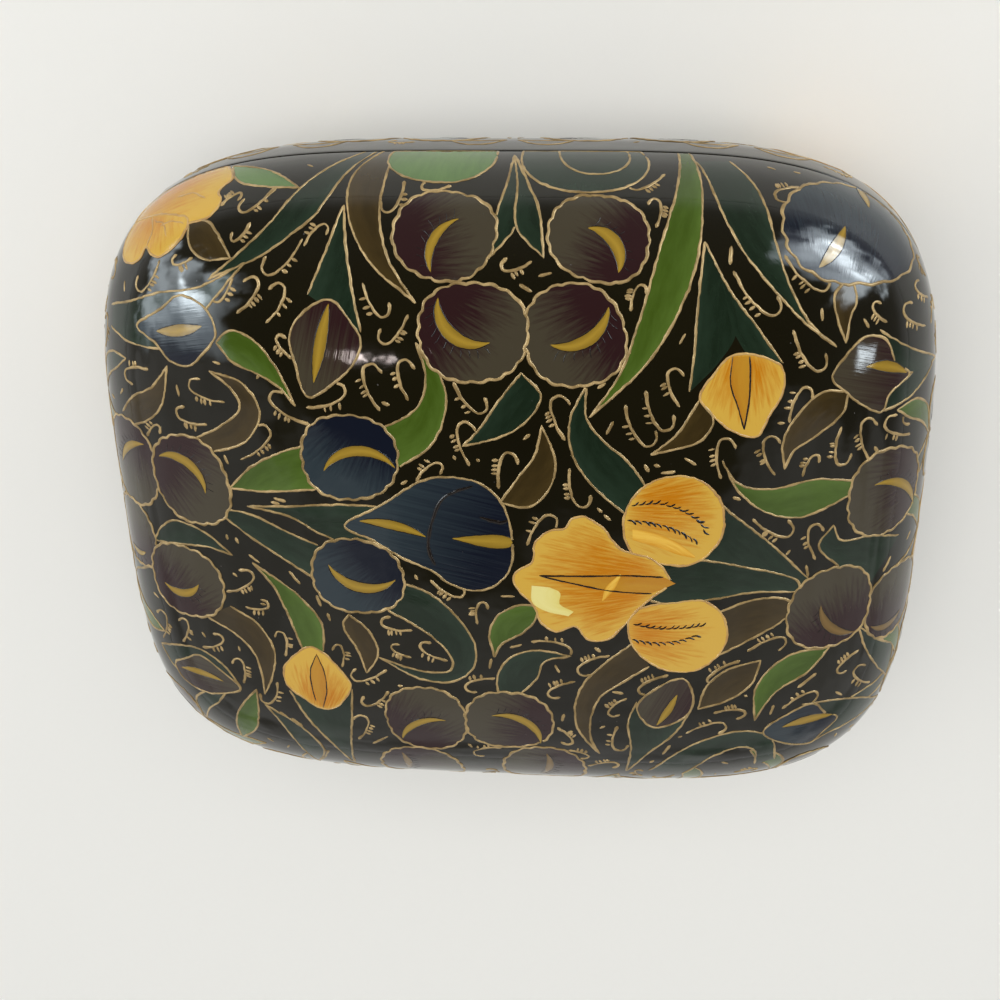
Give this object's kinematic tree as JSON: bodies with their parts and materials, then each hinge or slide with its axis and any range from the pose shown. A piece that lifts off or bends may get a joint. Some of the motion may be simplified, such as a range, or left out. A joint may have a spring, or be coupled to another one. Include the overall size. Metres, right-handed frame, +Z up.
{
  "type": "lacquered papier mache box",
  "caption": "Pillow-shaped papier mache box with a lift-off lid, an inner locating collar, a painted floral lacquer skin and a black lining.",
  "frame": {"origin": "middle of the flat underside, on the surface that the box stands on", "axes": "+Z up, +X along the longer side, +Y towards the long side whose joint line the picture shows"},
  "size_m": [0.127, 0.1054, 0.052],
  "materials": {
    "painted_lacquer": "gloss",
    "black_lining": "satin",
    "collar_board": "satin",
    "pressed_paper": "matte",
    "gold_paint": "satin",
    "leaf_paint": "gloss",
    "petal_paint": "gloss"
  },
  "bodies": {
    "base": {"base_shell": "pressed_paper", "base_lacquer_skin": "painted_lacquer", "base_lining": "black_lining", "locating_collar": "collar_board"},
    "lid": {"lid_shell": "pressed_paper", "lid_lacquer_skin": "painted_lacquer", "lid_lining": "black_lining"}
  },
  "joints": [
    {"name": "lid_lift", "type": "slide", "parent": "base", "child": "lid", "axis": [0, 0, 1], "range_m": [0, 0.06]}
  ]
}
